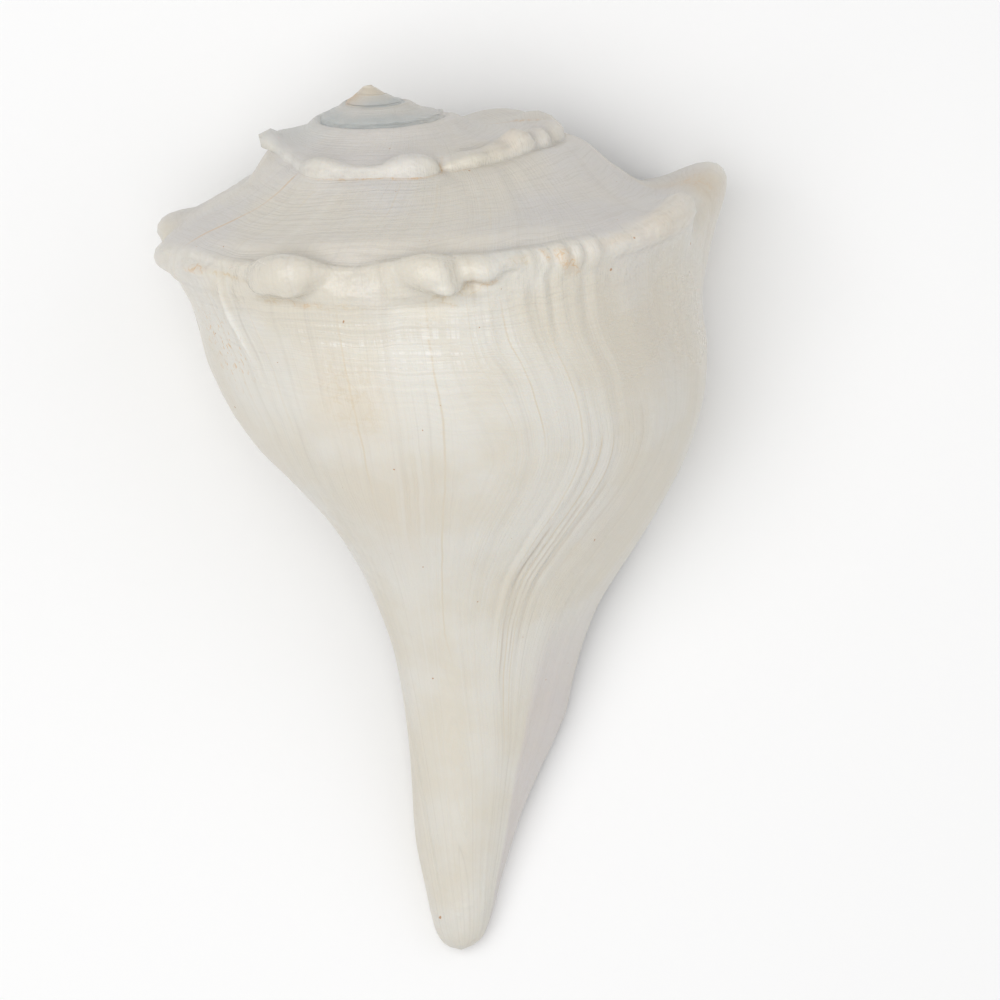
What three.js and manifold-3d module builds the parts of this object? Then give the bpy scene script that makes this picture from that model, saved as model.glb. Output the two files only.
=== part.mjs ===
import * as THREE from 'three';
import Module from 'manifold-3d';

// A left-handed whelk shell, grown as one piece: a broad knobbed shoulder, a low spire of
// tightening whorls and a long tapering canal. Millimetres, +Z up. It lies with its aperture
// underneath, the spire toward +Y, on the edge of its lip, one shoulder knob and the canal.

const DEG = Math.PI / 180;

// Growth: every turn the shell is this many times larger than the turn before.
const GROWTH_PER_TURN = 2.1;
const LIP_ANGLE = 118; // degrees round the axis from the back of the shell to the growing edge
const SPIRE_TURNS = 3.6; // whorls left showing above the last one
const CONTACT = 0.243; // how far along the profile the next whorl is laid on
const WALL = 3.0; // thickness of the shell wall
const CAVITY_DEPTH = 290; // degrees the hollow runs in from the lip
const TIP_DROP = 172.6; // apex to the end of the canal, along the axis

// How the shell lies: the axis dips toward the canal and leans a little on the lip.
const DIP = 12.62;
const ROLL = 1.1;
const WEAR = 0.6; // depth worn flat where it touches the ground

// Mesh fineness
const PER_TURN = 72;
const RAMP_ROWS = 6;
const BODY_ROWS = 24;
const CAVITY_STEPS = 20;

// One whorl's outline at full size, from the suture (0) over the shoulder to the canal's end (1).
// along, radius, drop below the apex, core radius that does not grow, power of growth of
// the radius, power of growth of the drop
const PROFILE = [
  [0.0, 29.3, 14.4, 0.0, 1.0, 1.0],
  [0.06, 37.5, 18.9, 0.0, 1.0, 1.0],
  [0.12, 46.5, 22.8, 0.0, 1.0, 1.0],
  [0.18, 55.5, 26.4, 0.0, 1.0, 1.0],
  [0.21, 60.2, 28.6, 0.0, 1.0, 1.0],
  [0.235, 62.0, 31.8, 0.0, 1.0, 1.0],
  [0.27, 60.8, 37.5, 0.0, 1.0, 1.0],
  [0.33, 60.0, 48.0, 0.0, 1.1, 1.0],
  [0.39, 60.0, 58.0, 0.0, 1.2, 1.0],
  [0.45, 57.8, 70.0, 0.0, 1.2, 1.0],
  [0.51, 52.0, 82.0, 0.0, 1.2, 1.0],
  [0.57, 42.8, 94.0, 0.0, 1.3, 0.98],
  [0.63, 32.4, 106.0, 1.0, 1.8, 0.85],
  [0.69, 25.8, 118.0, 2.6, 3.0, 0.62],
  [0.75, 21.0, 130.0, 3.6, 4.4, 0.4],
  [0.81, 15.8, 141.0, 4.2, 4.6, 0.22],
  [0.87, 11.6, 151.5, 4.4, 4.2, 0.1],
  [0.93, 8.6, 161.0, 4.3, 3.6, 0.04],
  [0.98, 5.6, 169.8, 3.6, 2.4, 0.0],
  [1.0, 0.6, 172.5, 0.6, 1.0, 0.0],
];

// Knobs on the shoulder: degrees round the axis, how far out, how far up, half width in degrees
const KNOBS = [
  [-140, 5, 2, 10],
  [-102, 5, 0.5, 9],
  [-76, 5, -1, 9],
  [-27, 6.5, 0.5, 13],
  [9, 6, 0, 8],
  [21, 4, 0, 4.5],
  [43, 2, 0, 8],
  [66, 4.5, 0, 9],
  [99, 8.5, 3.5, 11],
  [150, 6, 2, 10],
  [185, 6, 2, 11],
];

const ease = (x) => {
  const t = Math.min(1, Math.max(0, x));
  return t * t * (3 - 2 * t);
};
const hump = (x, centre, width) => Math.exp(-(((x - centre) / width) ** 2));

// Smooth curve through one column of the profile.
const ALONG = PROFILE.map((row) => row[0]);
function slope(column, i) {
  const last = ALONG.length - 1;
  const rise = (k) => (PROFILE[k + 1][column] - PROFILE[k][column]) / (ALONG[k + 1] - ALONG[k]);
  if (i === 0) return rise(0);
  if (i === last) return rise(last - 1);
  const before = ALONG[i] - ALONG[i - 1];
  const after = ALONG[i + 1] - ALONG[i];
  return (rise(i - 1) * before + rise(i) * after) / (before + after);
}
function profile(column, s) {
  let i = 0;
  while (i < ALONG.length - 2 && ALONG[i + 1] <= s) i += 1;
  const step = ALONG[i + 1] - ALONG[i];
  const t = (s - ALONG[i]) / step;
  const a = PROFILE[i][column];
  const b = PROFILE[i + 1][column];
  const from = slope(column, i) * step;
  const to = slope(column, i + 1) * step;
  return (
    (2 * t ** 3 - 3 * t ** 2 + 1) * a +
    (t ** 3 - 2 * t ** 2 + t) * from +
    (3 * t ** 2 - 2 * t ** 3) * b +
    (t ** 3 - t ** 2) * to
  );
}

// The suture sits where the turn before has its contact line.
for (let pass = 0; pass < 3; pass += 1) {
  const radius = profile(1, CONTACT) / GROWTH_PER_TURN;
  const drop = profile(2, CONTACT) / GROWTH_PER_TURN;
  PROFILE[0][1] = radius;
  PROFILE[0][2] = drop;
}

// Radius and drop of the outside at an angle (degrees) and a place along the profile.
function grown(angle, s) {
  const size = GROWTH_PER_TURN ** ((angle - 90) / 360);
  const core = profile(3, s) * Math.min(1, 0.35 + size);
  let radius = core + (profile(1, s) - profile(3, s)) * size ** profile(4, s);
  let drop = profile(2, s) * size ** profile(5, s);

  // the ramp sags on the left and swells beside the last suture
  const ramp = ease(s / 0.08) * (1 - ease((s - 0.3) / 0.12));
  const sag = 4.2 * hump(angle, -100, 38) + 2 * hump(angle, -40, 30);
  const swell = -3.2 * hump(s, 0.075, 0.05) + 2.2 * hump(s, 0.165, 0.028);
  drop += size * (sag * ramp + hump(angle, 108, 30) * swell);
  drop -= size * hump(angle, -232, 24) * 6.5 * hump(s, 0.2, 0.06);
  radius -= size * 1.6 * hump(angle, -75, 40) * ease((s - 0.26) / 0.08) * (1 - ease((s - 0.45) / 0.12));

  // knobs, repeated on every earlier whorl
  const shoulder = size * hump(s, 0.224, 0.03);
  for (const [at, out, up, width] of KNOBS) {
    for (let turn = 0; turn < 5; turn += 1) {
      if (turn === 0 && at > LIP_ANGLE) continue;
      const near = hump(angle + 360 * turn, at, width);
      radius += out * near * shoulder;
      drop -= (up + (turn > 0 ? 0.6 : 0)) * near * shoulder;
    }
  }
  return [radius, drop];
}

// The same with its upper edge laid exactly on the turn before.
function outside(angle, s) {
  const [radius, drop] = grown(angle, s);
  const hold = Math.max(0, 1 - s / 0.1) ** 2;
  if (hold === 0) return [radius, drop];
  const edge = grown(angle, 0);
  const under = grown(angle - 360, CONTACT);
  return [radius + hold * (under[0] - edge[0]), drop + hold * (under[1] - edge[1])];
}

// The growing edge leans back along the body and forward again along the canal.
const lean = (s) =>
  -(5 * ease((s - 0.26) / 0.16) + 5 * ease((s - 0.45) / 0.25)) * (1 - ease((s - 0.8) / 0.14));

const place = (angle, radius, drop) =>
  [radius * Math.sin(angle * DEG), -drop, radius * Math.cos(angle * DEG)];

// The whole wall as one closed surface: spire, last whorl, lip, hollow and columella.
function wallSurface() {
  const points = [];
  const triangles = [];
  const add = (p) => points.push(p) - 1;
  const face = (a, b, c) => {
    if (a !== b && b !== c && a !== c) triangles.push(a, b, c);
  };
  const quad = (a, b, c, d) => {
    face(a, b, c);
    face(a, c, d);
  };
  const rows = RAMP_ROWS + BODY_ROWS;
  const along = [];
  for (let j = 0; j <= RAMP_ROWS; j += 1) along.push((CONTACT * j) / RAMP_ROWS);
  for (let j = 1; j <= BODY_ROWS; j += 1) along.push(CONTACT + ((1 - CONTACT) * j) / BODY_ROWS);

  // spire: only the ramp of each earlier whorl shows
  const columns = Math.round(SPIRE_TURNS * PER_TURN);
  const spire = [];
  for (let i = 0; i <= columns; i += 1) {
    const angle = LIP_ANGLE - 360 - (360 * (columns - i)) / PER_TURN;
    const line = [];
    for (let j = 0; j <= RAMP_ROWS; j += 1) {
      if (j === 0 && i >= PER_TURN) line.push(spire[i - PER_TURN][RAMP_ROWS]);
      else line.push(add(place(angle, ...outside(angle, along[j]))));
    }
    spire.push(line);
  }
  for (let i = 0; i < columns; i += 1) {
    for (let j = 0; j < RAMP_ROWS; j += 1) {
      quad(spire[i][j], spire[i][j + 1], spire[i + 1][j + 1], spire[i + 1][j]);
    }
  }
  const first = points[spire[0][1]];
  const apex = add([0, first[1] + 0.25 * Math.abs(first[1]), 0]);
  for (let i = 0; i < PER_TURN; i += 1) face(apex, spire[i][0], spire[i + 1][0]);
  for (let j = 0; j < RAMP_ROWS; j += 1) face(apex, spire[0][j + 1], spire[0][j]);

  // last whorl: the full profile, from the shoulder ramp to the end of the canal
  const tip = add([0, -TIP_DROP, 0]);
  const whorl = [];
  for (let i = 0; i <= PER_TURN; i += 1) {
    const angle = LIP_ANGLE - 360 + (360 * i) / PER_TURN;
    const line = [];
    for (let j = 0; j <= rows; j += 1) {
      if (i === 0 && j <= RAMP_ROWS) line.push(spire[columns][j]);
      else if (j === 0 && i < PER_TURN) line.push(spire[columns - PER_TURN + i][RAMP_ROWS]);
      else if (j === 0) line.push(whorl[0][RAMP_ROWS]);
      else if (j === rows) line.push(tip);
      else line.push(add(place(angle + lean(along[j]), ...outside(angle, along[j]))));
    }
    whorl.push(line);
  }
  for (let i = 0; i < PER_TURN; i += 1) {
    for (let j = 0; j < rows; j += 1) {
      quad(whorl[i][j], whorl[i][j + 1], whorl[i + 1][j + 1], whorl[i + 1][j]);
    }
  }

  // hollow: the inner face of the last whorl over the outer face of the turn before
  const top = RAMP_ROWS + 1;
  const bottom = rows - 2;
  const count = bottom - top;
  const body = (s) => (s - CONTACT) / (1 - CONTACT);
  const inner = [];
  const columella = [];
  for (let c = 0; c <= CAVITY_STEPS; c += 1) {
    const back = (CAVITY_DEPTH * c) / CAVITY_STEPS;
    const angle = LIP_ANGLE - back;
    const start = body(along[top]);
    const end = body(along[bottom]) + (0.52 - body(along[bottom])) * ease(back / 170);
    const closing = 1 - ease((back - (CAVITY_DEPTH - 70)) / 70);
    const under = [];
    const over = [];
    for (let k = 0; k <= count; k += 1) {
      const t = (along[top + k] - along[top]) / (along[bottom] - along[top]);
      const s = start + (end - start) * t;
      const q = CONTACT + (1 - CONTACT) * s;
      const [r0, d0] = outside(angle - 360, q);
      const [r1, d1] = outside(angle, s);
      const gap = Math.hypot(r1 - r0, d1 - d0);
      const ends = Math.sin((Math.PI / 2) * Math.min(1, Math.min(t, 1 - t) / 0.16)) ** 0.8;
      const open = Math.max(0, 1 - WALL / Math.max(gap, 1e-6)) * ends * closing;
      const turn = lean(q) + (lean(s) - lean(q)) * ease(t / 0.12) * ease((1 - t) / 0.12);
      if (c === 0) under.push(whorl[0][top + k]);
      else under.push(add(place(angle + lean(q), r0, d0)));
      if (k === 0 || k === count || c === CAVITY_STEPS) over.push(under[k]);
      else over.push(add(place(angle + turn, r0 + (r1 - r0) * open, d0 + (d1 - d0) * open)));
    }
    columella.push(under);
    inner.push(over);
  }
  for (let c = 0; c < CAVITY_STEPS; c += 1) {
    for (let k = 0; k < count; k += 1) {
      quad(inner[c][k + 1], inner[c + 1][k + 1], inner[c + 1][k], inner[c][k]);
      quad(columella[c][k], columella[c + 1][k], columella[c + 1][k + 1], columella[c][k + 1]);
    }
  }

  // lip: the thickness of the wall at the growing edge, from the suture to the canal's end
  const outer = along.map((s, j) => [s, whorl[PER_TURN][j]]);
  const edge = [];
  for (let j = RAMP_ROWS; j <= top; j += 1) edge.push([body(along[j]), whorl[0][j]]);
  for (let k = 1; k < count; k += 1) edge.push([body(along[top + k]), inner[0][k]]);
  for (let j = bottom; j <= rows; j += 1) edge.push([body(along[j]), whorl[0][j]]);
  let a = 0;
  let b = 0;
  while (a < outer.length - 1 || b < edge.length - 1) {
    const takeOuter =
      b === edge.length - 1 || (a < outer.length - 1 && outer[a + 1][0] <= edge[b + 1][0]);
    if (takeOuter) {
      face(outer[a][1], outer[a + 1][1], edge[b][1]);
      a += 1;
    } else {
      face(outer[a][1], edge[b + 1][1], edge[b][1]);
      b += 1;
    }
  }
  return { points, triangles };
}

// Turned to lie as it rests and set down so that the worn spots are at z = 0.
function laidDown({ points, triangles }) {
  const rest = new THREE.Matrix4()
    .makeRotationY(ROLL * DEG)
    .multiply(new THREE.Matrix4().makeRotationX(DIP * DEG));
  const moved = points.map((p) => new THREE.Vector3(...p).applyMatrix4(rest));
  const box = new THREE.Box3().setFromPoints(moved);
  const middle = box.getCenter(new THREE.Vector3());
  const shift = new THREE.Vector3(-middle.x, -middle.y, -box.min.z - WEAR);
  return { points: moved.map((p) => p.add(shift)), triangles };
}

const wasm = await Module();
wasm.setup();

function toManifold(points, triangles) {
  return new wasm.Manifold(
    new wasm.Mesh({
      numProp: 3,
      vertProperties: new Float32Array(points.flatMap((p) => [p.x, p.y, p.z])),
      triVerts: new Uint32Array(triangles),
    }),
  );
}

function groundBlock(width, depth) {
  const block = new THREE.BoxGeometry(width, width, depth).toNonIndexed();
  block.translate(0, 0, -depth / 2);
  const corners = [];
  const triangles = [];
  const position = block.getAttribute('position');
  for (let i = 0; i < position.count; i += 1) {
    const p = new THREE.Vector3().fromBufferAttribute(position, i);
    let at = corners.findIndex((q) => q.distanceTo(p) < 1e-6);
    if (at < 0) at = corners.push(p) - 1;
    triangles.push(at);
  }
  return toManifold(corners, triangles);
}

function shellGeometry() {
  const { points, triangles } = laidDown(wallSurface());
  const worn = toManifold(points, triangles).subtract(groundBlock(400, 20));
  const mesh = worn.getMesh();
  const geometry = new THREE.BufferGeometry();
  geometry.setAttribute('position', new THREE.BufferAttribute(mesh.vertProperties, 3));
  geometry.setIndex(new THREE.BufferAttribute(mesh.triVerts, 1));
  geometry.computeVertexNormals();
  return geometry;
}

const shell = new THREE.Mesh(
  shellGeometry(),
  new THREE.MeshStandardMaterial({ color: 0xdcd8cc, roughness: 0.42, metalness: 0 }),
);
shell.name = 'shell';

const group = new THREE.Group();
group.name = 'whelk_shell';
group.add(shell);

export default group;
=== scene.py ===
import bpy
import numpy as np
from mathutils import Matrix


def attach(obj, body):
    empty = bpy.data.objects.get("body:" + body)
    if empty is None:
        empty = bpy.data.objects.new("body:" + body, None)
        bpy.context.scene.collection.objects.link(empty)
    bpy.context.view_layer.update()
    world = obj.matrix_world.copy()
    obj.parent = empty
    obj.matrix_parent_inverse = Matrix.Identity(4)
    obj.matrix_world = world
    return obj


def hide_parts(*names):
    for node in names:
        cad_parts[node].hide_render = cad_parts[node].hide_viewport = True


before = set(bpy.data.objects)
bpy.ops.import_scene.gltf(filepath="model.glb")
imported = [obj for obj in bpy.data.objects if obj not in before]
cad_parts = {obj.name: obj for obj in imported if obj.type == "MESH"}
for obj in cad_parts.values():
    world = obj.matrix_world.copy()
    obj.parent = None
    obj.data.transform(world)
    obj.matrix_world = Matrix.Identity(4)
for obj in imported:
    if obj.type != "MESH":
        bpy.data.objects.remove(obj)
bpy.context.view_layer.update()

# ---------------------------------------------------------------------------------------------
# The growth of the wall.
# The shell is one wall of calcium carbonate that the animal lays down along its growing edge.
# Every turn is GROWTH times larger than the turn before, so one outline, scaled and turned
# round the axis, gives the spire, the shoulder, the body and the long canal.
# ---------------------------------------------------------------------------------------------
DEG = np.pi / 180
GROWTH = 2.1
LIP = 118.0  # degrees round the axis from the middle of the back to the growing edge
FULL_SIZE = 90.0  # degrees at which the outline has the sizes below
CONTACT = 0.243  # where along the outline the next turn is laid on

# The outline from the suture (0) to the canal's end (1), in mm: along, radius, drop from the
# apex, core of the radius that does not grow, power of growth for the radius and for the drop
OUTLINE = np.array([
    [0.00, 29.3, 14.4, 0.0, 1.0, 1.00],
    [0.06, 37.5, 18.9, 0.0, 1.0, 1.00],
    [0.12, 46.5, 22.8, 0.0, 1.0, 1.00],
    [0.18, 55.5, 26.4, 0.0, 1.0, 1.00],
    [0.21, 59.7, 28.8, 0.0, 1.0, 1.00],
    [0.235, 61.8, 32.2, 0.0, 1.0, 1.00],
    [0.27, 60.8, 37.5, 0.0, 1.0, 1.00],
    [0.33, 60.0, 48.0, 0.0, 1.1, 1.00],
    [0.39, 60.0, 58.0, 0.0, 1.2, 1.00],
    [0.45, 57.8, 70.0, 0.0, 1.2, 1.00],
    [0.51, 52.0, 82.0, 0.0, 1.2, 1.00],
    [0.57, 42.8, 94.0, 0.0, 1.3, 0.98],
    [0.63, 32.4, 106.0, 1.0, 1.8, 0.85],
    [0.69, 25.8, 118.0, 2.6, 3.0, 0.62],
    [0.75, 21.0, 130.0, 3.6, 4.4, 0.40],
    [0.81, 15.8, 141.0, 4.2, 4.6, 0.22],
    [0.87, 11.6, 151.5, 4.4, 4.2, 0.10],
    [0.93, 8.6, 161.0, 4.3, 3.6, 0.04],
    [0.965, 6.9, 167.2, 3.9, 2.6, 0.00],
    [0.985, 5.0, 171.8, 3.2, 1.6, 0.00],
    [0.995, 2.9, 174.3, 2.0, 1.2, 0.00],
    [1.00, 0.5, 175.2, 0.5, 1.0, 0.00],
])

# The shoulder's knobs: degrees round the axis, mm out, mm up, half width in degrees
KNOBS = [
    (-140, 3.0, 0.0, 10), (-102, 4.0, 0.0, 9), (-76, 2.0, -1.5, 9), (-27, 0.8, 0.8, 10),
    (8, 1.0, 0.5, 8), (21, 1.0, 0.0, 4.5), (43, 1.0, 0.3, 8), (68, 3.0, 2.2, 11),
    (99, 1.5, 1.5, 10), (150, 6.0, 2.0, 10), (185, 6.0, 2.0, 11),
]

# Where this one shell departs from a plain spiral: degrees round and half width, along and half
# width, mm out, mm up, and the power of size it goes with (0 on the canal, which does not grow)
SWELLS = [
    (-262, 34, 0.25, 0.09, 15.0, 0.0, 1),  # the turn before the last stands out on the right
    (-262, 34, 0.20, 0.06, 0.0, 4.0, 1),
    (-232, 20, 0.19, 0.07, 0.0, 5.5, 1),
    (-446, 32, 0.21, 0.07, 0.0, 7.5, 1),  # and is higher and closer in on the left
    (-446, 32, 0.24, 0.05, -5.5, 0.0, 1),
    (101, 13, 0.245, 0.06, 5.2, 0.0, 1),  # the ear where the shoulder meets the lip
    (101, 13, 0.225, 0.05, 0.0, 4.4, 1),
    (74, 34, 0.035, 0.045, 0.0, 2.6, 1),  # the ramp climbs on the turn before it
    (-88, 38, 0.735, 0.07, -3.6, 0.0, 0),  # the left side of the neck and of the canal
    (-88, 38, 0.90, 0.05, 0.9, 0.0, 0),
    (92, 40, 0.88, 0.08, 1.3, 0.0, 0),  # and the canal's right side
]

# How far the ramp of the last turn sags: degrees round, half width, mm
SAGS = [(-108, 40, 6.2), (-40, 30, 2.0)]


def ease(x):
    """0 below 0, 1 above 1, and 3x^2 - 2x^3 between."""
    t = np.clip(x, 0, 1)
    return t * t * (3 - 2 * t)


def hump(x, centre, width):
    """A bell: e to the minus ((x - centre) / width) squared."""
    return np.exp(-(((x - centre) / width) ** 2))


def curve(x, xs, ys):
    """Cubic through the points (xs, ys); each slope is the mean of its two neighbours' rises."""
    rise = np.diff(ys) / np.diff(xs)
    step = np.diff(xs)
    slope = np.empty_like(ys)
    slope[1:-1] = (rise[:-1] * step[:-1] + rise[1:] * step[1:]) / (step[:-1] + step[1:])
    slope[0], slope[-1] = rise[0], rise[-1]
    i = np.clip(np.searchsorted(xs, x, side="right") - 1, 0, len(xs) - 2)
    t = (x - xs[i]) / step[i]
    return (
        (2 * t**3 - 3 * t**2 + 1) * ys[i]
        + (t**3 - 2 * t**2 + t) * step[i] * slope[i]
        + (3 * t**2 - 2 * t**3) * ys[i + 1]
        + (t**3 - t**2) * step[i] * slope[i + 1]
    )


# The suture lies on the turn before, at its contact line. Each pass brings it closer.
for _ in range(3):
    OUTLINE[0, 1] = curve(np.array(CONTACT), OUTLINE[:, 0], OUTLINE[:, 1]) / GROWTH
    OUTLINE[0, 2] = curve(np.array(CONTACT), OUTLINE[:, 0], OUTLINE[:, 2]) / GROWTH


def grown(angle, s):
    """Radius and drop at an angle and a place s along: core + (radius - core) * size^a and
    drop * size^b, where size = GROWTH^((angle - FULL_SIZE) / 360). Then come the rounded
    apex, the sag of the ramp, the SWELLS and the KNOBS, each a bell round and along."""
    size = GROWTH ** ((angle - FULL_SIZE) / 360)
    radius, drop, core, a, b = (curve(s, OUTLINE[:, 0], OUTLINE[:, k]) for k in range(1, 6))
    radius = core * np.minimum(1, 0.35 + size) + (radius - core) * size**a
    drop = drop * size**b
    drop = drop - 1.0 * hump(radius, 0, 2.6)
    on_ramp = ease(s / 0.08) * (1 - ease((s - 0.3) / 0.12))
    sag = sum(deep * hump(angle, at, wide) for at, wide, deep in SAGS)
    # near the lip the ramp is hollow above the shoulder, and starts farther from the axis
    hollow = 2.2 * hump(s, 0.165, 0.028) - 1.0 * hump(s, 0.075, 0.05)
    drop = drop + size * (sag * on_ramp + hump(angle, 108, 30) * hollow)
    radius = radius + 6.4 * size * hump(angle, 98, 34) * (1 - ease(s / 0.16))
    # the spire's ramps climb on the turn before them
    drop = drop - 3.4 * size * ease((-200 - angle) / 60) * hump(s, 0.028, 0.04)
    for at, wide, along, tall, out, up, power in SWELLS:
        swollen = size**power * hump(angle, at, wide) * hump(s, along, tall)
        radius = radius + out * swollen
        drop = drop - up * swollen
    # the left side is drawn in below the shoulder
    waist = ease((s - 0.26) / 0.08) * (1 - ease((s - 0.45) / 0.12))
    radius = radius - size * 1.6 * hump(angle, -75, 40) * waist
    # each knob comes again on the turns before, where it stands a little higher
    shoulder = size * hump(s, 0.224, 0.03)
    for at, out, up, width in KNOBS:
        older = sum(hump(angle + 360 * turn, at, width) for turn in range(1, 5))
        near = older if at > LIP else hump(angle, at, width) + older
        radius = radius + out * near * shoulder
        drop = drop - (up * near + 0.6 * older) * shoulder
    return radius, drop


def lean(s):
    """Degrees the growing edge leans back along the body, and forward again on the canal."""
    back = 5 * ease((s - 0.26) / 0.16) + 5 * ease((s - 0.45) / 0.25)
    return -back * (1 - ease((s - 0.8) / 0.14))


# Lumps on the shoulder of the last turn: degrees, along, mm high, half width in degrees,
# half width along, tilt (degrees of shift for each unit along)
LUMPS = [
    # the broad knob on the left, and the hollows that set it off
    (-24, 0.234, 4.9, 10.4, 0.036, -60), (-21, 0.256, 1.3, 3.6, 0.012, 0),
    (-30, 0.250, 0.8, 4, 0.012, 0), (-9, 0.230, -2.6, 9, 0.034, 0), (-43, 0.240, -1.2, 6, 0.032, 0),
    (-26, 0.281, -0.9, 11, 0.010, -60),
    # the pair in front, with a broken edge below
    (8.0, 0.240, 3.6, 7.2, 0.034, 60), (11.5, 0.256, 2.4, 3.4, 0.015, 40),
    (10, 0.232, 0.9, 3.0, 0.014, 0), (18.5, 0.240, 2.4, 4.6, 0.024, 40),
    (24, 0.234, 1.3, 5.5, 0.018, -90), (23, 0.247, -0.9, 4.0, 0.008, 0),
    (17, 0.260, -1.4, 3.2, 0.009, 0), (12, 0.274, -1.0, 2.6, 0.010, 0),
    (9, 0.288, -0.9, 11, 0.014, 40),
    # where the folds cross the shoulder
    (29.5, 0.238, 0.5, 1.4, 0.024, 0), (33.0, 0.238, 0.6, 1.3, 0.024, 0),
    (36.6, 0.236, 0.8, 1.4, 0.026, 0), (40.0, 0.236, 0.7, 1.4, 0.026, 0),
    (44, 0.235, 0.8, 2.0, 0.026, 0),
    # the low knob before the lip, and the groove between it and the ear
    (56, 0.232, 1.7, 9, 0.020, -160), (66, 0.224, 2.4, 10, 0.024, -120),
    (71, 0.214, 1.5, 4.5, 0.016, 0), (82, 0.236, -2.2, 5.0, 0.030, 0),
    # the left corner
    (-78, 0.250, 1.6, 9, 0.036, 0), (-66, 0.262, 1.2, 7, 0.024, 0), (-100, 0.205, 1.6, 10, 0.03, 0),
    (-88, 0.222, -1.8, 4, 0.04, 0), (-52, 0.226, -1.2, 11, 0.012, -60),
    (-56, 0.246, 0.9, 7, 0.014, 0),
    # the ramp sinks a little just above the shoulder
    (-15, 0.196, -1.8, 46, 0.022, 0), (30, 0.200, -1.2, 26, 0.018, 0),
]

# The same for the turn before
RIM = [
    # a spike on the left, then a rolled rim in front with one notch
    (-80, 0.215, 3.6, 10, 0.030, 0), (-54, 0.228, -1.0, 6, 0.03, 0),
    (-26, 0.236, 2.6, 17, 0.050, 0), (-3, 0.232, 1.3, 13, 0.030, 0),
    (15, 0.220, 2.7, 13, 0.050, 0), (29.5, 0.236, -1.6, 3.0, 0.05, 0),
    # a row of small knobs on the right
    (44, 0.215, 0.8, 9, 0.030, 0), (56, 0.205, 1.0, 6, 0.022, 0), (67, 0.200, 2.4, 6, 0.026, 0),
    (73.5, 0.222, -0.9, 2.6, 0.020, 0), (79, 0.212, 1.6, 4.2, 0.026, 0),
    (85, 0.225, -0.8, 2.4, 0.020, 0), (91, 0.215, 1.4, 4.5, 0.030, 0),
    (52, 0.165, -0.9, 12, 0.014, 0), (104, 0.190, 1.3, 6, 0.030, 0),
]

# Folds down the body where growth paused: degrees at the shoulder, mm high, half width in
# degrees, start and end along, share of the full course
FOLDS = [
    # a polished ridge on the left and its hollows
    (-46, 1.10, 1.0, 0.235, 0.47, 1.2), (-42.5, -0.45, 1.3, 0.24, 0.50, 1.2),
    (-50, 0.30, 0.9, 0.24, 0.44, 1.1), (-54, 0.25, 1.2, 0.25, 0.48, 1.0),
    (-38, 0.18, 1.0, 0.26, 0.50, 1.2), (-60, 0.18, 1.4, 0.26, 0.46, 0.9),
    # the bundle that runs down the right side and bends at the neck
    (18.5, 0.30, 0.8, 0.27, 0.46, 0.6), (22.5, -0.18, 1.6, 0.26, 0.58, 0.8),
    (26.3, 0.26, 0.8, 0.24, 0.52, 0.9), (29.4, -0.16, 0.9, 0.24, 0.74, 1.0),
    (31.4, 0.34, 0.7, 0.22, 0.72, 1.0), (33.4, -0.28, 0.7, 0.22, 0.74, 1.0),
    (35.3, 0.28, 0.7, 0.22, 0.70, 1.0), (37.2, -0.22, 0.6, 0.40, 0.74, 1.0),
    (38.8, 0.26, 0.7, 0.25, 0.72, 1.0), (41.0, -0.22, 0.8, 0.22, 0.74, 1.05),
    (43.6, 0.28, 0.9, 0.22, 0.66, 1.05), (48.0, -0.12, 1.8, 0.24, 0.74, 0.9),
    (53.0, 0.16, 1.3, 0.25, 0.60, 0.9), (59.0, -0.12, 1.8, 0.26, 0.66, 0.8),
    # faint ones in front and near the lip
    (3.0, 0.08, 1.0, 0.25, 0.60, 0.2), (11.0, 0.10, 1.0, 0.30, 0.7, 0.2),
    (-9.0, 0.08, 1.0, 0.28, 0.56, 0.3), (72.0, 0.16, 2.0, 0.26, 0.60, 0.6),
    (84.0, -0.16, 2.5, 0.26, 0.62, 0.5),
]


# The course of a fold down the body: along, degrees of shift
COURSE = np.array([
    [0.20, -1], [0.24, 0], [0.33, 2], [0.41, 7], [0.47, 10], [0.52, 9], [0.57, 6], [0.62, 4],
    [0.67, 6], [0.72, 11], [0.78, 18], [0.84, 22], [1.0, 24],
])


RAMP_END = 0.22  # along
RAMP_SWEEP = 100  # degrees for each unit along


def sway(s):
    """Degrees a fold shifts on its way down: a curve through COURSE."""
    return curve(np.clip(s, 0.2, 1), COURSE[:, 0], COURSE[:, 1])


def growth_angle(angle, s):
    """The angle a growth line started from at the shoulder: the line sweeps back 22 degrees over
    the ramp, then leans with the lip and shares the folds' sway, fully on the right side."""
    right = ease((angle - 13) / 17) * (1 - ease((angle - 62) / 30))
    left = 0.9 * ease((-12 - angle) / 25) * (1 - ease((-80 - angle) / 20))
    part = np.where(angle > LIP - 360, 0.15 + 0.85 * right + left, 0.15)
    swept = RAMP_SWEEP * (np.minimum(s, RAMP_END) - RAMP_END)
    return angle + lean(s) - part * sway(s) + swept


BEADS, BEAD_HIGH = 15, 0.9  # round each of the first turns, and mm
RIPPLES, RIPPLE_HIGH = 26, 0.05  # waves in the sum, and mm
THREADS, THREAD_HIGH = 10, 0.016


def egg(x, y):
    """A lump with a clear edge: the mean of 1 - r^2 (0 beyond r = 1) and e to the -1.6 r^2."""
    r2 = x**2 + y**2
    return 0.5 * np.maximum(0, 1 - r2) + 0.5 * np.exp(-1.6 * r2)


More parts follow.
